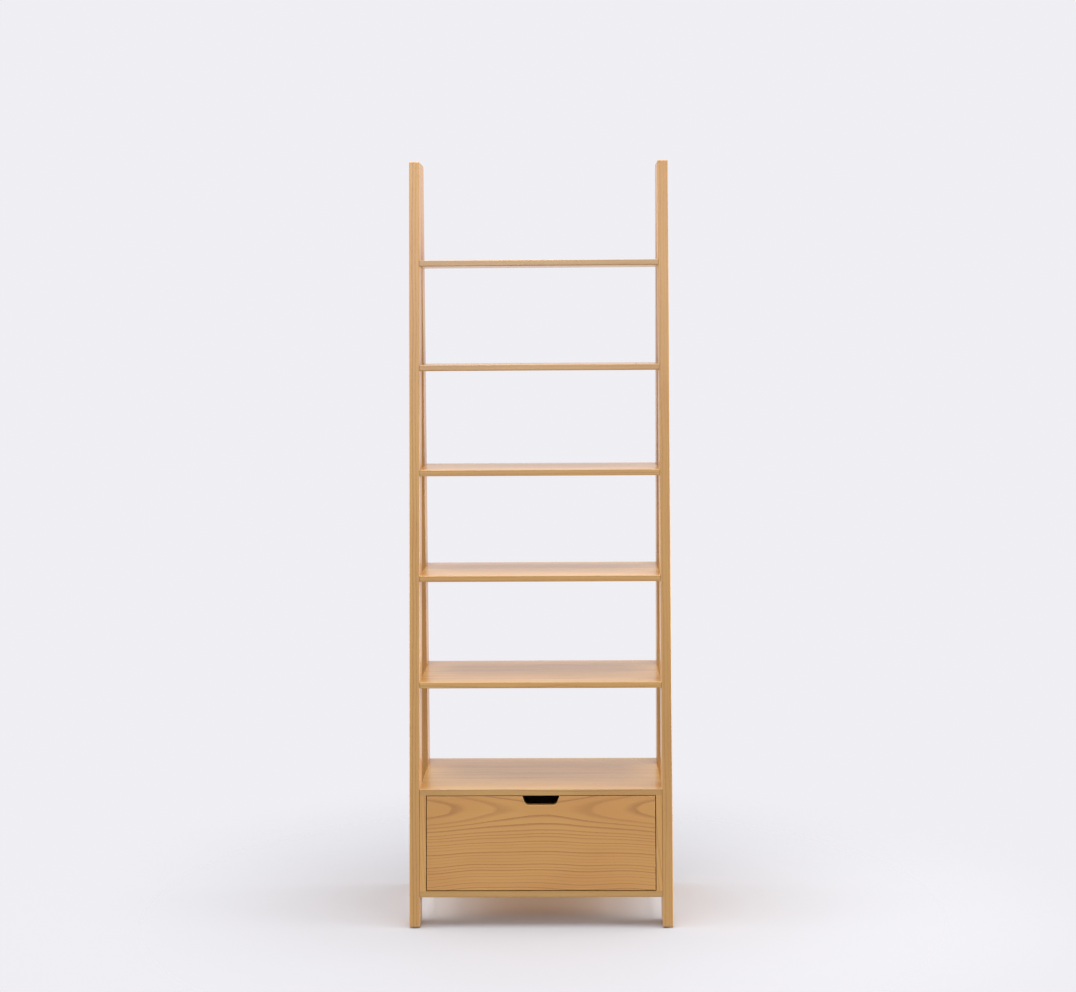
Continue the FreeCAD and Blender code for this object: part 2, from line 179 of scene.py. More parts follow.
# %% [markdown]
# ## Glued staves
#
# Solid shelves are glued up from narrower staves, each from another part of a tree.
# This group finds which stave a point is in and how far across that stave it lies, and lets each
# stave stray by its own amount from the tree's middle line. It puts out a tone of its own for
# each stave, plus a hair-thin mask for the glue line. A single board is one very wide stave.

# %% Group: glued staves
GLUE_LINE = 0.0003


def make_glued_staves():
    tree, inputs, out = new_group(
        "glued_staves",
        {"Place": "vector", "Stave Width": "value", "Shift": "value", "Stray": "value", "Seed": "value"},
        {"Place": "vector", "Stave": "value", "Tone": "value", "Glue": "value"})
    along, across, through = split_xyz(tree, inputs["Place"])
    count = calc(tree, "DIVIDE", calc(tree, "ADD", across, inputs["Shift"]), inputs["Stave Width"])
    stave = calc(tree, "FLOOR", count)
    within = calc(tree, "SUBTRACT", calc(tree, "SUBTRACT", count, stave), 0.5)
    white = add_node(tree, "ShaderNodeTexWhiteNoise", noise_dimensions="2D")
    feed(tree, white.inputs["Vector"], join_xyz(tree, stave, inputs["Seed"], 0.0))
    chance = white.outputs["Value"]
    stray = calc(tree, "MULTIPLY", calc(tree, "SUBTRACT", chance, 0.5), inputs["Stray"])
    in_tree = calc(tree, "ADD", calc(tree, "MULTIPLY", within, inputs["Stave Width"]), stray)
    edge = calc(tree, "SUBTRACT", 0.5, calc(tree, "ABSOLUTE", within))
    edge_distance = calc(tree, "MULTIPLY", edge, inputs["Stave Width"])
    feed(tree, out.inputs["Place"], join_xyz(tree, along, in_tree, through))
    feed(tree, out.inputs["Stave"], stave)
    feed(tree, out.inputs["Tone"], chance)
    feed(tree, out.inputs["Glue"], ramp(tree, edge_distance, 0.0, GLUE_LINE, 1.0, 0.0))
    return tree


glued_staves = make_glued_staves()
print("made", glued_staves.name)

# %% [markdown]
# ## Growth rings
#
# A board's figure is a slice through nested cones of yearly growth. The group measures the distance
# to the tree's middle line, which lies some way behind the face. Where that depth changes along
# the board, the slice shows arches: a crown, as on a flat-sawn drawer front. Far from the middle
# line, the same sum gives quiet straight lines. A young tree grows fast, so the rings near the
# middle line are wide and those beyond the young radius settle to an even width.
# Slow noise bends the rings, the outer ones most, as a real trunk does. Ash starts each ring with
# a band of open pores, which reads as a darker line that fades out.

# %% Group: growth rings
RIPPLE = 0.35            # rings, how far a line strays on its way along the board
UNEVEN_YEARS = 1.4       # rings, how unlike each other the years are
CROWN_ROUNDING = 0.004   # square metres, keeps the crown's top round
BAND_RISE = 0.10         # share of a year where the porous band reaches its darkest
BAND_END = 0.52          # share of a year where the band has faded out
FAINTEST_BAND = 0.30


def make_growth_rings():
    tree, inputs, out = new_group(
        "growth_rings",
        {"Place": "vector", "Seed": "value", "Ring Width": "value", "Young Radius": "value",
         "Pith Across": "value", "Pith Depth": "value", "Crown": "value", "Crown Along": "value",
         "Wander": "value"},
        {"Band": "value"})
    along, across, through = split_xyz(tree, inputs["Place"])
    from_crown = calc(tree, "SUBTRACT", along, inputs["Crown Along"])
    from_crown_squared = calc(tree, "POWER", calc(tree, "ABSOLUTE", from_crown), 2.0)
    rounded_top = calc(tree, "ADD", from_crown_squared, CROWN_ROUNDING)
    crown = calc(tree, "MULTIPLY", inputs["Crown"], calc(tree, "POWER", rounded_top, 0.75))
    depth = calc(tree, "SUBTRACT", calc(tree, "ADD", inputs["Pith Depth"], through), crown)
    aside = calc(tree, "SUBTRACT", across, inputs["Pith Across"])
    plain_distance = vector_calc(tree, "LENGTH", join_xyz(tree, depth, aside, 0.0), output=1)

    slow = noise(tree, stretched(tree, inputs["Place"], 3.4, 3.0), inputs["Seed"], detail=1.0)
    swell = calc(tree, "MULTIPLY", calc(tree, "SUBTRACT", slow, 0.5), inputs["Wander"])
    distance = calc(tree, "MULTIPLY", plain_distance, calc(tree, "ADD", 1.0, swell))
    squared = calc(tree, "ADD", calc(tree, "POWER", distance, 2.0),
                   calc(tree, "POWER", inputs["Young Radius"], 2.0))
    grown = calc(tree, "SUBTRACT", calc(tree, "SQRT", squared), inputs["Young Radius"])
    rings = calc(tree, "DIVIDE", grown, inputs["Ring Width"])

    ripple = noise(tree, stretched(tree, inputs["Place"], 11.0, 46.0), inputs["Seed"], detail=2.0)
    rings = calc(tree, "ADD", rings, calc(tree, "MULTIPLY", ripple, RIPPLE))
    years = join_xyz(tree, calc(tree, "MULTIPLY", rings, 0.45), inputs["Seed"], 0.0)
    unevenness = calc(tree, "MULTIPLY", noise(tree, years, 0.0, detail=1.0), UNEVEN_YEARS)
    rings = calc(tree, "ADD", rings, unevenness)
    ring = calc(tree, "FLOOR", rings)
    phase = calc(tree, "SUBTRACT", rings, ring)
    rise = ramp(tree, phase, 0.0, BAND_RISE)
    band = calc(tree, "MULTIPLY", rise, ramp(tree, phase, BAND_RISE, BAND_END, 1.0, 0.0))
    white = add_node(tree, "ShaderNodeTexWhiteNoise", noise_dimensions="2D")
    feed(tree, white.inputs["Vector"], join_xyz(tree, ring, inputs["Seed"], 0.0))
    strength = ramp(tree, white.outputs["Value"], 0.0, 1.0, FAINTEST_BAND, 1.0, smooth=False)
    feed(tree, out.inputs["Band"], calc(tree, "MULTIPLY", band, strength, clamp=True))
    return tree


growth_rings = make_growth_rings()
print("made", growth_rings.name)

# %% [markdown]
# ## Pores and fibres
#
# Close up, ash is full of short dark dashes, the cut-open vessels, and of fine fibre streaks.
# Both are noise squeezed across the grain. The pores crowd into the band of each ring, and on
# end grain the same three-dimensional noise turns into dots by itself.

# %% Group: pores and fibres
# Lumps of noise per metre along the grain and across it.
PORE_DASHES = (120.0, 2300.0)
WIDE_STREAKS = (5.0, 260.0)
FINE_STREAKS = (18.0, 1400.0)
MOTTLE_CLOUDS = (3.2, 11.0)


def make_pores_and_fibres():
    tree, inputs, out = new_group(
        "pores_and_fibres",
        {"Place": "vector", "Seed": "value", "Band": "value"},
        {"Pores": "value", "Fibre": "value", "Mottle": "value"})
    place, seed = inputs["Place"], inputs["Seed"]
    dashes = noise(tree, stretched(tree, place, *PORE_DASHES), seed, detail=1.0)
    limit = ramp(tree, inputs["Band"], 0.0, 1.0, 0.70, 0.50, smooth=False)
    pores = ramp(tree, calc(tree, "SUBTRACT", dashes, limit), 0.0, 0.06)
    wide = noise(tree, stretched(tree, place, *WIDE_STREAKS), seed, detail=3.0, roughness=0.6)
    fine = noise(tree, stretched(tree, place, *FINE_STREAKS), seed, detail=1.0)
    fibre = calc(tree, "ADD", calc(tree, "MULTIPLY", wide, 0.65), calc(tree, "MULTIPLY", fine, 0.35))
    mottle = noise(tree, stretched(tree, place, *MOTTLE_CLOUDS), calc(tree, "ADD", seed, 2.3), detail=2.0)
    feed(tree, out.inputs["Pores"], pores)
    feed(tree, out.inputs["Fibre"], ramp(tree, fibre, 0.32, 0.68))
    feed(tree, out.inputs["Mottle"], ramp(tree, mottle, 0.3, 0.7))
    return tree


pores_and_fibres = make_pores_and_fibres()
print("made", pores_and_fibres.name)

# %% [markdown]
# ## Edges and ends
#
# The arrises are mixed a little towards the pale wood, and end grain drinks more lacquer and looks darker.
# The narrow long sides of a board, its edge grain, get a tint apart from the wide faces; on the legs and
# shelf boards both tints are painted light and shade, set by which way each face looks.
# The edge mask compares the true normal with a rounded one. The other two compare the normal
# with the board's own directions.

# %% Group: edges and ends
def make_edges_and_ends():
    tree, inputs, out = new_group(
        "edges_and_ends",
        {"Object Normal": "vector", "Grain": "vector", "Face": "vector", "Edge Width": "value"},
        {"Edge": "value", "End Grain": "value", "Edge Grain": "value"})
    rounded = add_node(tree, "ShaderNodeBevel", samples=4)
    feed(tree, rounded.inputs["Radius"], inputs["Edge Width"])
    geometry = add_node(tree, "ShaderNodeNewGeometry")
    same = vector_calc(tree, "DOT_PRODUCT", rounded.outputs["Normal"], geometry.outputs["Normal"], output=1)
    feed(tree, out.inputs["Edge"], ramp(tree, same, 0.985, 0.90))
    facing = vector_calc(tree, "DOT_PRODUCT", inputs["Object Normal"], inputs["Grain"], output=1)
    feed(tree, out.inputs["End Grain"], ramp(tree, calc(tree, "ABSOLUTE", facing), 0.6, 0.95))
    sideways = vector_calc(tree, "DOT_PRODUCT", inputs["Object Normal"], inputs["Face"], output=1)
    feed(tree, out.inputs["Edge Grain"], ramp(tree, calc(tree, "ABSOLUTE", sideways), 0.45, 0.85))
    return tree


edges_and_ends = make_edges_and_ends()
print("made", edges_and_ends.name)

# %% [markdown]
# ## The lacquered ash itself
#
# One function makes the finish for any board: the groups above give masks, and the masks mix four
# wood colours. The lacquer is the shader's own coat, which keeps its gloss apart from the duller
# wood beneath it. Each board gets its own material, because no two boards show the same figure.

# %% Ash finish
ASH_PALE = (0.555, 0.295, 0.076, 1.0)
ASH_WARM = (0.500, 0.245, 0.058, 1.0)
ASH_BAND = (0.330, 0.140, 0.028, 1.0)
ASH_PORE = (0.205, 0.080, 0.016, 1.0)
BAND_STRENGTH = 0.45
PORE_STRENGTH = 0.45
END_DARKENING = 0.35
EDGE_PALING = 0.12       # how far the arrises go towards the pale wood
EDGE_WIDTH = 0.0025
COAT_ROUGHNESS = 0.22


def new_material(name):
    material = bpy.data.materials.new(name)
    material.use_nodes = True
    tree = material.node_tree
    shader = tree.nodes["Principled BSDF"]
    return material, tree, shader


ONE_BOARD = 2.0          # metres, wider than any board here, so the whole board is one stave


def ash(name, middle, grain, face, seed, ring_width=0.0075, young_radius=0.0, pith_across=0.0,
        pith_depth=0.06, crown=0.0, crown_along=0.0, wander=0.12, stave_width=ONE_BOARD,
        stave_shift=ONE_BOARD / 2, stray=0.0, face_tint_and_light=(1.0, 1.0, 1.0), edge_tint_and_light=(1.0, 1.0, 1.0),
        coat=0.75, band_strength=BAND_STRENGTH):
    material, tree, shader = new_material(name)
    where = add_node(tree, "ShaderNodeTexCoord")
    place = place_group(tree, board_place, Point=where.outputs["Object"], Middle=tuple(middle),
                        Grain=tuple(grain), Face=tuple(face))["Place"]
    staves = place_group(tree, glued_staves, Place=place, Stave_Width=stave_width,
                         Shift=stave_shift, Stray=stray, Seed=seed)
    own_seed = calc(tree, "ADD", staves["Stave"], seed)
    rings = place_group(tree, growth_rings, Place=staves["Place"], Seed=own_seed, Ring_Width=ring_width,
                        Young_Radius=young_radius, Pith_Across=pith_across, Pith_Depth=pith_depth,
                        Crown=crown, Crown_Along=crown_along, Wander=wander)
    detail = place_group(tree, pores_and_fibres, Place=staves["Place"], Seed=own_seed, Band=rings["Band"])
    edges = place_group(tree, edges_and_ends, Object_Normal=where.outputs["Normal"],
                        Grain=tuple(grain), Face=tuple(face), Edge_Width=EDGE_WIDTH)

    ground = mix_colour(tree, detail["Mottle"], ASH_PALE, ASH_WARM)
    ground = mix_colour(tree, calc(tree, "MULTIPLY", detail["Fibre"], 0.35), ground, ASH_WARM)
    banded = mix_colour(tree, calc(tree, "MULTIPLY", rings["Band"], band_strength), ground, ASH_BAND)
    pored = mix_colour(tree, calc(tree, "MULTIPLY", detail["Pores"], PORE_STRENGTH), banded, ASH_PORE)
    ended = mix_colour(tree, calc(tree, "MULTIPLY", edges["End Grain"], END_DARKENING), pored, ASH_BAND)
    paled_arrises = mix_colour(tree, calc(tree, "MULTIPLY", edges["Edge"], EDGE_PALING), ended, ASH_PALE)
    # Painted light and shade: on the legs and shelf boards the face and edge tints brighten or darken each
    # face by which way it looks. On the drawer front and cabinet sides they are only a tint.
    tint_and_light = mix_colour(tree, edges["Edge Grain"], (*face_tint_and_light, 1.0), (*edge_tint_and_light, 1.0))
    tinted_and_lit = mix_colour(tree, 1.0, paled_arrises, tint_and_light, blend="MULTIPLY")
    toned = ramp(tree, staves["Tone"], 0.0, 1.0, 0.94, 1.06, smooth=False)
    glue = calc(tree, "SUBTRACT", 1.0, calc(tree, "MULTIPLY", staves["Glue"], 0.25))
    brightness = calc(tree, "MULTIPLY", toned, glue)
    colour = vector_calc(tree, "SCALE", tinted_and_lit)
    feed(tree, colour.node.inputs["Scale"], brightness)
    feed(tree, shader.inputs["Base Color"], colour)

    rougher_ends = calc(tree, "MULTIPLY", edges["End Grain"], 0.15)
    dull = calc(tree, "ADD", ramp(tree, detail["Fibre"], 0.0, 1.0, 0.44, 0.54), rougher_ends)
    feed(tree, shader.inputs["Roughness"], dull)
    pits = calc(tree, "MULTIPLY", detail["Pores"], -1.0)
    relief = calc(tree, "ADD", pits, calc(tree, "MULTIPLY", rings["Band"], -0.35))
    relief = calc(tree, "ADD", relief, calc(tree, "MULTIPLY", detail["Fibre"], 0.15))
    bump = add_node(tree, "ShaderNodeBump")
    feed(tree, bump.inputs["Strength"], 0.35)
    feed(tree, bump.inputs["Distance"], 0.00012)
    feed(tree, bump.inputs["Height"], relief)
    feed(tree, shader.inputs["Normal"], bump.outputs["Normal"])
    shader.inputs["Coat Weight"].default_value = coat
    shader.inputs["Coat Roughness"].default_value = COAT_ROUGHNESS
    shader.inputs["Coat IOR"].default_value = 1.48
    shader.inputs["IOR"].default_value = 1.45
    return material


def dress(name, material):
    """Gives a frame piece its finish, in the slots that it has."""
    mesh = nodes[name].data
    if not mesh.materials:
        mesh.materials.append(material)
    for index in range(len(mesh.materials)):
        mesh.materials[index] = material


def middle_of(name):
    low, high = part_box(name)
    return (Vector(low) + Vector(high)) / 2


print("ash finish ready")

# %% [markdown]
# ## Legs
#
# The four legs are straight-grained stock, cut well away from the middle of the tree so that they
# stay straight. Their wide faces look sideways, so the narrow front edge shows close, quiet lines.

# %% Dress the legs
# Painted light and shade on the legs: the side faces are warmed and lit brighter on the left legs and
# shaded darker on the right legs. The front and back faces are darkened as painted shade, most on the right
# legs, and cooled as a painted reflection of the pale air.
LEG_SIDE_PAINTED_LIGHT_AND_SHADE = ((1.04, 1.00, 0.88), (0.94, 0.91, 0.80))     # left, right
LEG_FRONT_PAINTED_SHADE_AND_REFLECTION = ((0.90, 0.95, 1.12), (0.83, 0.86, 0.99))

for index, name in enumerate(("front_leg_left", "front_leg_right", "rear_leg_left", "rear_leg_right")):
    grain = UP_THE_LEAN if name.startswith("front") else UP
    face = ACROSS_ROOM.cross(grain)
    dress(name, ash("ash_" + name, middle_of(name), grain, face, seed=11.0 + 3.7 * index,
                    ring_width=0.0078, pith_across=-0.02 + 0.012 * index, pith_depth=0.075,
                    wander=0.16, coat=0.5, face_tint_and_light=LEG_SIDE_PAINTED_LIGHT_AND_SHADE[index % 2],
                    edge_tint_and_light=LEG_FRONT_PAINTED_SHADE_AND_REFLECTION[index % 2]))
print("legs dressed")

# %% [markdown]
# ## Shelves and cabinet boards
#
# The shelves are glued up from staves that run across the room, and no two boards have quite the
# same tone. The cabinet sides stand with their grain upright, so the corner of the cabinet shows
# edge grain beside the leg.

# %% Dress the boards
# Painted light and shade on the boards: the wide faces, tops and undersides alike, are brightened as
# painted light from above. The front and back edges are darkened as painted shade and cooled as a painted
# reflection of the pale air.
BOARD_FACE_PAINTED_LIGHT = (1.16, 1.20, 1.00)
BOARD_EDGE_PAINTED_SHADE_AND_REFLECTION = (0.80, 0.86, 0.96)
# How much lighter or darker than the rest each board's faces and edges are.
BOARD_TONES = {
    "shelf_1": (1.00, 0.89),
    "shelf_2": (1.00, 0.92),
    "shelf_3": (1.14, 1.04),
    "shelf_4": (1.13, 1.03),
    "shelf_5": (1.02, 1.14),
    "cabinet_top": (0.95, 0.99),
    "cabinet_bottom": (1.00, 0.97),
}
STAVE_WIDTH = 0.088
STRAY = 0.15

for index, name in enumerate(shelf_names + ["cabinet_top", "cabinet_bottom"]):
    face_tone, edge_tone = BOARD_TONES[name]
    dress(name, ash("ash_" + name, middle_of(name), ACROSS_ROOM, BACKWARDS, seed=31.0 + 5.3 * index,
                    ring_width=0.0080, pith_across=0.01, pith_depth=0.05, wander=0.16,
                    stave_width=STAVE_WIDTH, stave_shift=1.0 + 0.017 * index, stray=STRAY,
                    face_tint_and_light=[part * face_tone for part in BOARD_FACE_PAINTED_LIGHT],
                    edge_tint_and_light=[part * edge_tone for part in BOARD_EDGE_PAINTED_SHADE_AND_REFLECTION]))
for index, name in enumerate(("cabinet_side_left", "cabinet_side_right")):
    dress(name, ash("ash_" + name, middle_of(name), UP, BACKWARDS, seed=83.0 + 6.1 * index,
                    ring_width=0.0070, pith_depth=0.06, wander=0.14, stave_width=STAVE_WIDTH,
                    stray=STRAY, edge_tint_and_light=(0.96, 0.96, 0.97)))
print("boards dressed:", len(shelf_names) + 4)

# %% [markdown]
# ## Drawer front
#
# This is the show piece: a wide crown-cut board with the grain lying across it. The tree's middle
# line runs high behind the face and is deepest near the middle of the board's length, so pointed
# arches close in from both ends near the top and the lines settle into long flat bows below them.

# %% Dress the drawer front
drawer_low, drawer_high = (Vector(corner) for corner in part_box("drawer_front"))
drawer_middle = (drawer_low + drawer_high) / 2
DRAWER_TINT = (0.93, 0.89, 0.85)
dress("drawer_front", ash("ash_drawer_front", drawer_middle, ACROSS_ROOM, UP_THE_LEAN, seed=9.0,
                          ring_width=0.0068, young_radius=0.045, pith_across=0.082, pith_depth=0.0420,
                          crown=0.225, crown_along=0.010, wander=0.20, band_strength=0.75,
                          face_tint_and_light=DRAWER_TINT))
print("drawer front is", round(drawer_high.x - drawer_low.x, 3), "m wide")

# %% [markdown]
# ## Drawer box, thin panels and dowels
#
# Inside a drawer the wood is plainer and paler. Thin panels are plywood: a quiet peeled face,
# and stripes of crossed layers on the edges. The dowels are plain beech with straight grain.

# %% Dress the inside woods
def plain_wood(name, middle, grain, face, seed, pale, dark, ring_width):
    material, tree, shader = new_material(name)
    where = add_node(tree, "ShaderNodeTexCoord")
    place = place_group(tree, board_place, Point=where.outputs["Object"], Middle=tuple(middle),
                        Grain=tuple(grain), Face=tuple(face))["Place"]
    rings = place_group(tree, growth_rings, Place=place, Seed=seed, Ring_Width=ring_width,
                        Pith_Across=0.03, Pith_Depth=0.12, Wander=0.14)
    detail = place_group(tree, pores_and_fibres, Place=place, Seed=seed, Band=0.2)
    edges = place_group(tree, edges_and_ends, Object_Normal=where.outputs["Normal"],
                        Grain=tuple(grain), Face=tuple(face), Edge_Width=EDGE_WIDTH)
    ground = mix_colour(tree, calc(tree, "MULTIPLY", rings["Band"], 0.35), pale, dark)
    ground = mix_colour(tree, calc(tree, "MULTIPLY", detail["Fibre"], 0.30), ground, dark)
    ground = mix_colour(tree, calc(tree, "MULTIPLY", edges["End Grain"], 0.45), ground, dark)
    feed(tree, shader.inputs["Base Color"], ground)
    feed(tree, shader.inputs["Roughness"], ramp(tree, detail["Fibre"], 0.0, 1.0, 0.50, 0.62))
    bump = add_node(tree, "ShaderNodeBump")
    feed(tree, bump.inputs["Strength"], 0.25)
    feed(tree, bump.inputs["Distance"], 0.0001)
    feed(tree, bump.inputs["Height"], detail["Fibre"])
    feed(tree, shader.inputs["Normal"], bump.outputs["Normal"])
    shader.inputs["Coat Weight"].default_value = 0.15
    shader.inputs["Coat Roughness"].default_value = 0.35
    return material


def plywood(name, middle, grain, face, seed, layer):
    material, tree, shader = new_material(name)
    where = add_node(tree, "ShaderNodeTexCoord")
    place = place_group(tree, board_place, Point=where.outputs["Object"], Middle=tuple(middle),
                        Grain=tuple(grain), Face=tuple(face))["Place"]
    through = split_xyz(tree, place)[2]
    detail = place_group(tree, pores_and_fibres, Place=place, Seed=seed, Band=0.1)
    peeled = noise(tree, stretched(tree, place, 1.8, 16.0), seed, detail=3.0)
    lines = calc(tree, "SINE", calc(tree, "MULTIPLY", peeled, 60.0))
    layers = calc(tree, "SINE", calc(tree, "MULTIPLY", through, math.tau / (2 * layer)))
    through_axis = Vector(grain).cross(Vector(face))
    facing = vector_calc(tree, "DOT_PRODUCT", where.outputs["Normal"], tuple(through_axis), output=1)
    on_edge = ramp(tree, calc(tree, "ABSOLUTE", facing), 0.3, 0.7, 1.0, 0.0)
    face_colour = mix_colour(tree, ramp(tree, lines, 0.2, 1.0, 0.0, 0.45), PLY_PALE, PLY_DARK)
    face_colour = mix_colour(tree, calc(tree, "MULTIPLY", detail["Fibre"], 0.3), face_colour, PLY_DARK)
    edge_colour = mix_colour(tree, ramp(tree, layers, -0.3, 0.3), PLY_PALE, PLY_CORE)
    feed(tree, shader.inputs["Base Color"], mix_colour(tree, on_edge, face_colour, edge_colour))
    feed(tree, shader.inputs["Roughness"], ramp(tree, detail["Mottle"], 0.0, 1.0, 0.52, 0.60))
    shader.inputs["Coat Weight"].default_value = 0.1
    shader.inputs["Coat Roughness"].default_value = 0.4
    return material


BOX_PALE = (0.62, 0.46, 0.28, 1.0)
BOX_DARK = (0.46, 0.30, 0.16, 1.0)
PLY_PALE = (0.60, 0.44, 0.27, 1.0)
PLY_DARK = (0.47, 0.31, 0.17, 1.0)
PLY_CORE = (0.30, 0.18, 0.09, 1.0)
BEECH_PALE = (0.60, 0.38, 0.22, 1.0)
BEECH_DARK = (0.45, 0.25, 0.13, 1.0)
BOX_RING_WIDTH = 0.006
BEECH_RING_WIDTH = 0.003
PLY_LAYER = 0.001        # metres, thickness of one veneer

for index, name in enumerate(("drawer_side_left", "drawer_side_right")):
    dress(name, plain_wood("wood_" + name, middle_of(name), BACKWARDS, UP, 101.0 + index,
                           BOX_PALE, BOX_DARK, BOX_RING_WIDTH))
dress("drawer_back", plain_wood("wood_drawer_back", middle_of("drawer_back"), ACROSS_ROOM, UP, 107.0,
                                BOX_PALE, BOX_DARK, BOX_RING_WIDTH))
dress("drawer_bottom", plywood("ply_drawer_bottom", middle_of("drawer_bottom"), ACROSS_ROOM, BACKWARDS,
                               113.0, PLY_LAYER))
dress("cabinet_back", plywood("ply_cabinet_back", middle_of("cabinet_back"), ACROSS_ROOM, UP,
                              127.0, PLY_LAYER))
for name, grain, face in (("shelf_dowels", ACROSS_ROOM, UP), ("leg_seat_dowels", BACKWARDS, UP),
                          ("cabinet_dowels", UP, BACKWARDS), ("drawer_dowels", BACKWARDS, UP)):
    dress(name, plain_wood("beech_" + name, middle_of(name), grain, face, 131.0,
                           BEECH_PALE, BEECH_DARK, BEECH_RING_WIDTH))
print("inside woods dressed")

# %% [markdown]
# ## Metal and nylon
#
# Zinc-plated runners and bolts are not mirrors: the plating is cloudy, rolled lines run along the
# channels and dirt dulls them a little. The foot glides are dark moulded nylon, scuffed below.

# %% Dress the hardware
def plated(name, grain, pale, dark, roughness):
    material, tree, shader = new_material(name)
    where = add_node(tree, "ShaderNodeTexCoord")
    place = place_group(tree, board_place, Point=where.outputs["Object"], Middle=(0.0, 0.0, 0.0),
                        Grain=tuple(grain), Face=tuple(UP if grain != UP else BACKWARDS))["Place"]
    drawn = noise(tree, stretched(tree, place, 12.0, 2600.0), 3.0, detail=2.0)
    cloud = noise(tree, stretched(tree, place, 55.0, 70.0), 8.0, detail=3.0)
    feed(tree, shader.inputs["Base Color"], mix_colour(tree, ramp(tree, cloud, 0.35, 0.65), pale, dark))
    shine = calc(tree, "ADD", ramp(tree, cloud, 0.3, 0.7, roughness, roughness + 0.12),
                 calc(tree, "MULTIPLY", drawn, 0.06))
    feed(tree, shader.inputs["Roughness"], shine)
    bump = add_node(tree, "ShaderNodeBump")
    feed(tree, bump.inputs["Strength"], 0.2)
    feed(tree, bump.inputs["Distance"], 0.00005)
    feed(tree, bump.inputs["Height"], drawn)
    feed(tree, shader.inputs["Normal"], bump.outputs["Normal"])
    shader.inputs["Metallic"].default_value = 1.0
    return material


NYLON_DARK = (0.020, 0.013, 0.009, 1.0)
NYLON_SCUFFED = (0.075, 0.058, 0.045, 1.0)


def nylon(name):
    material, tree, shader = new_material(name)
    where = add_node(tree, "ShaderNodeTexCoord")
    grit = noise(tree, vector_calc(tree, "MULTIPLY", where.outputs["Object"], (900.0, 900.0, 900.0)), 1.0)
    scratched = vector_calc(tree, "MULTIPLY", where.outputs["Object"], (160.0, 700.0, 160.0))
    scuff = ramp(tree, noise(tree, scratched, 2.0, detail=3.0), 0.55, 0.75, 0.0, 0.5)
    feed(tree, shader.inputs["Base Color"], mix_colour(tree, scuff, NYLON_DARK, NYLON_SCUFFED))
    feed(tree, shader.inputs["Roughness"], ramp(tree, grit, 0.3, 0.7, 0.42, 0.60))
    bump = add_node(tree, "ShaderNodeBump")
    feed(tree, bump.inputs["Strength"], 0.3)
    feed(tree, bump.inputs["Distance"], 0.0001)
    feed(tree, bump.inputs["Height"], grit)
    feed(tree, shader.inputs["Normal"], bump.outputs["Normal"])
    return material


zinc_along = plated("zinc_runner", BACKWARDS, (0.66, 0.67, 0.69, 1.0), (0.50, 0.51, 0.53, 1.0), 0.30)
zinc_fixing = plated("zinc_fixing", ACROSS_ROOM, (0.68, 0.68, 0.68, 1.0), (0.52, 0.52, 0.53, 1.0), 0.26)
ball_steel = plated("ball_steel", BACKWARDS, (0.60, 0.60, 0.62, 1.0), (0.44, 0.44, 0.46, 1.0), 0.22)
dark_nylon = nylon("dark_nylon")
for name in nodes:
    if name.startswith("runner_") and "screws" not in name:
        dress(name, zinc_along)
    elif name.startswith("ball_cage"):
        dress(name, ball_steel)
    elif name.startswith("foot_glide"):
        dress(name, dark_nylon)
    elif name in ("shelf_bolts", "barrel_nuts", "leg_screws") or name.startswith("runner_screws"):
        dress(name, zinc_fixing)
print("hardware dressed")

# %% [markdown]
# ## Soft shading on rounded edges
#
# The boards arrive as flat faces with narrow rounded edges. Faces that meet at a shallow angle
# are shaded as one curve and sharp corners stay sharp, so each edge catches one clean line of light.

# %% Shade the edges
SMOOTH_UP_TO = math.radians(32)

for name, piece in nodes.items():
    piece.data.shade_smooth()
    smoothing = piece.modifiers.new("edge_split", "EDGE_SPLIT")
    smoothing.split_angle = SMOOTH_UP_TO
    smoothing.use_edge_sharp = False
print("edges shaded on", len(nodes), "pieces")

# %% [markdown]
# ## Studio
#
# A white sweep with no visible horizon: the air around the shelf is an even pale white,
# and the floor is a disc that fades into it before it gets far from the feet. The air is pale to
# look at and in the lacquer's reflections, but only half as strong as a source of light, so the
# softboxes decide which faces are bright and which are dark.

# %% Floor and air
PALE = (0.866, 0.858, 0.896, 1.0)
FLOOR_RADIUS = 1.6
FLOOR_GONE = 0.9         # share of the radius where the floor has faded into the air
FLOOR_SOLID = 0.45        # metres from the shelf where the floor starts to fade
FLOOR_ALBEDO = (0.462, 0.460, 0.478, 1.0)
AIR_GLOW = 0.5           # the air's strength as a light


def make_floor():
    mesh = bpy.data.meshes.new("studio_floor")
    shape = bmesh.new()
    bmesh.ops.create_circle(shape, cap_ends=True, segments=96, radius=FLOOR_RADIUS)
    shape.to_mesh(mesh)
    shape.free()
    floor = bpy.data.objects.new("studio_floor", mesh)
    bpy.context.scene.collection.objects.link(floor)
    material, tree, shader = new_material("floor_paint")
    shader.inputs["Base Color"].default_value = FLOOR_ALBEDO
    shader.inputs["Roughness"].default_value = 0.75
    where = add_node(tree, "ShaderNodeTexCoord")
    distance = vector_calc(tree, "LENGTH", where.outputs["Object"], output=1)
    solid = ramp(tree, distance, FLOOR_SOLID, FLOOR_RADIUS * FLOOR_GONE, 1.0, 0.0)
    feed(tree, shader.inputs["Alpha"], solid)
    mesh.materials.append(material)
    return floor


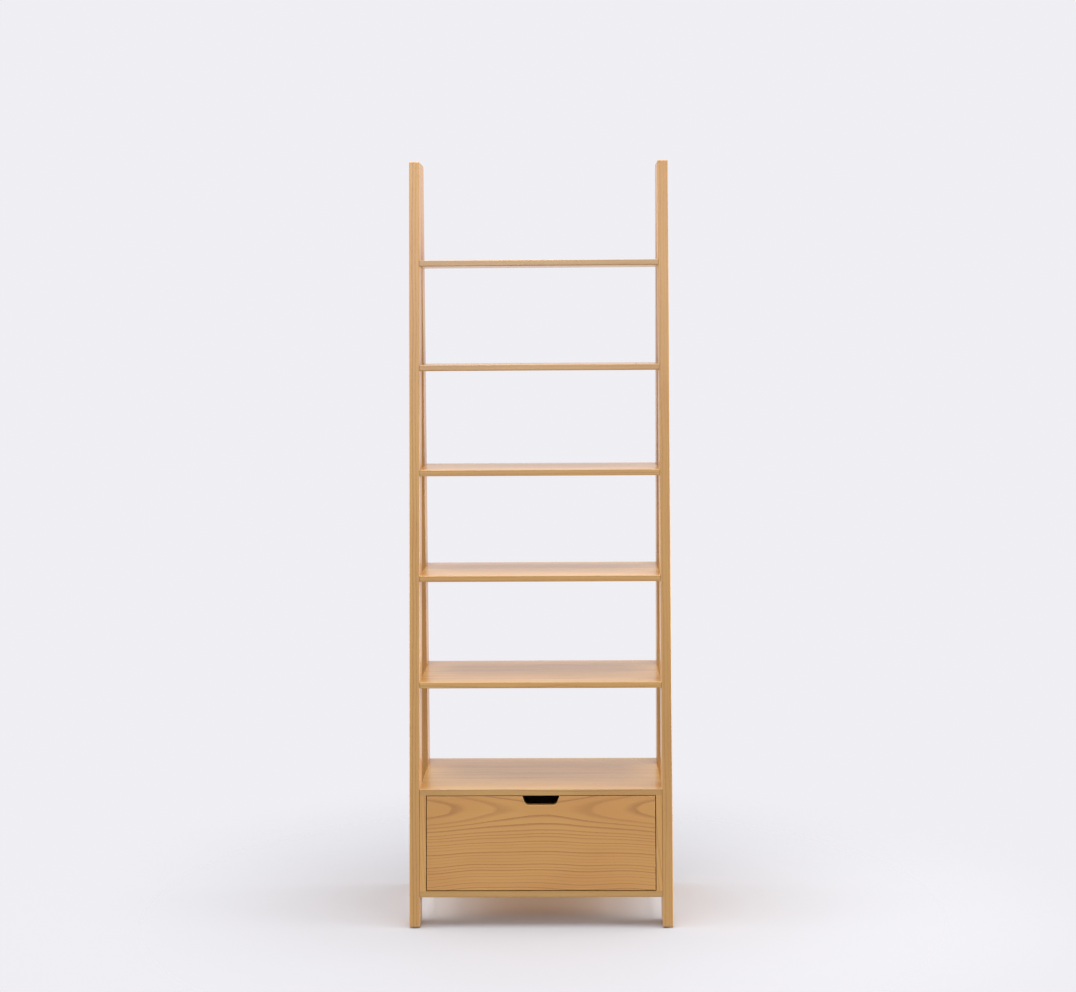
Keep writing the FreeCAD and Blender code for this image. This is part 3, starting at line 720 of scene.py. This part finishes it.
def make_air():
    """Bright to look at and in reflections, dimmer as a source of light."""
    world = bpy.data.worlds.new("studio_air")
    world.use_nodes = True
    tree = world.node_tree
    seen = tree.nodes["Background"]
    seen.inputs["Color"].default_value = PALE
    glow = add_node(tree, "ShaderNodeBackground")
    glow.inputs["Color"].default_value = PALE
    glow.inputs["Strength"].default_value = AIR_GLOW
    path = add_node(tree, "ShaderNodeLightPath")
    choice = add_node(tree, "ShaderNodeMixShader")
    feed(tree, choice.inputs[0], path.outputs["Is Diffuse Ray"])
    tree.links.new(seen.outputs[0], choice.inputs[1])
    tree.links.new(glow.outputs[0], choice.inputs[2])
    tree.links.new(choice.outputs[0], tree.nodes["World Output"].inputs["Surface"])
    bpy.context.scene.world = world


floor = make_floor()
make_air()
bpy.context.scene.view_settings.view_transform = "Standard"
print("made", floor.name, "with a radius of", FLOOR_RADIUS, "m")

# %% [markdown]
# ## Lights
#
# A big overhead softbox makes the shelf tops the brightest planes and darkens the floor under the
# cabinet. A weak one high in front lifts the upper part of the legs more than the feet, and one low
# on each side reaches in under the cabinet. Light that has bounced between the wood and the floor
# warms that floor, and it would take many bounces to work out. Three small lights close under the
# cabinet stand in for it, warm in the middle and paler by the legs.

# %% Softboxes
def softbox(name, place, target, size, power, colour=(1.0, 1.0, 1.0)):
    data = bpy.data.lights.new(name, "AREA")
    data.shape = "RECTANGLE"
    data.size, data.size_y = size
    data.energy = power
    data.color = colour
    lamp = bpy.data.objects.new(name, data)
    lamp.visible_camera = False
    bpy.context.scene.collection.objects.link(lamp)
    lamp.location = place
    lamp.rotation_euler = (Vector(target) - Vector(place)).to_track_quat("-Z", "Y").to_euler()
    return lamp


COOL = (0.90, 1.0, 1.22)
WARM_BOUNCE = (1.0, 0.57, 0.27)
PALE_BOUNCE = (1.0, 0.92, 0.86)

softbox("overhead_softbox", (0.0, -0.3, 4.2), (0.0, 0.0, 0.0), (3.4, 3.4), 180.0)
softbox("front_softbox", (-0.3, -4.5, 3.2), (0.0, 0.0, 1.3), (2.2, 1.4), 34.0,
        COOL)
softbox("left_softbox", (-3.0, -0.2, 0.85), (0.0, -0.2, 0.85), (2.4, 1.5), 82.0)
softbox("right_softbox", (3.0, -0.2, 0.85), (0.0, -0.2, 0.85), (2.4, 1.5), 125.0)
softbox("bounce_under_middle", (0.0, 0.06, 0.073), (0.0, 0.06, 0.0), (0.40, 0.26), 0.125,
        WARM_BOUNCE)
for side, sign, power in (("left", -1, 0.085), ("right", 1, 0.065)):
    softbox("bounce_under_end_" + side, (0.27 * sign, 0.04, 0.073), (0.27 * sign, 0.04, 0.0),
            (0.07, 0.30), power, PALE_BOUNCE)
print("lights placed")

# %% [markdown]
# ## Camera
#
# The camera stands a little right of the middle, a bit below a standing person's eyes, and looks
# slightly down, so the upper boards are seen edge on and the lower ones from above.

# %% Camera
CAMERA_PLACE = Vector((0.0862, -5.0783, 1.4800))
CAMERA_TURN = math.radians(-1.027)     # to the left
CAMERA_TILT = math.radians(-4.835)     # downwards
CAMERA_ROLL = math.radians(-0.373)
SENSOR_WIDTH = 36.0
LENS = 67.75


def make_camera():
    data = bpy.data.cameras.new("camera")
    data.sensor_width = SENSOR_WIDTH
    data.sensor_fit = "HORIZONTAL"
    data.lens = LENS
    camera = bpy.data.objects.new("camera", data)
    bpy.context.scene.collection.objects.link(camera)
    ahead = Vector((math.sin(CAMERA_TURN) * math.cos(CAMERA_TILT),
                    math.cos(CAMERA_TURN) * math.cos(CAMERA_TILT), math.sin(CAMERA_TILT)))
    level_right = Vector((math.cos(CAMERA_TURN), -math.sin(CAMERA_TURN), 0.0))
    level_up = level_right.cross(ahead)
    right = math.cos(CAMERA_ROLL) * level_right + math.sin(CAMERA_ROLL) * level_up
    up = right.cross(ahead)
    turn = Matrix((right, up, -ahead)).transposed().to_4x4()
    camera.matrix_world = Matrix.Translation(CAMERA_PLACE) @ turn
    bpy.context.scene.camera = camera
    return camera


camera = make_camera()
print("made", camera.name, "with a lens of", LENS, "mm")
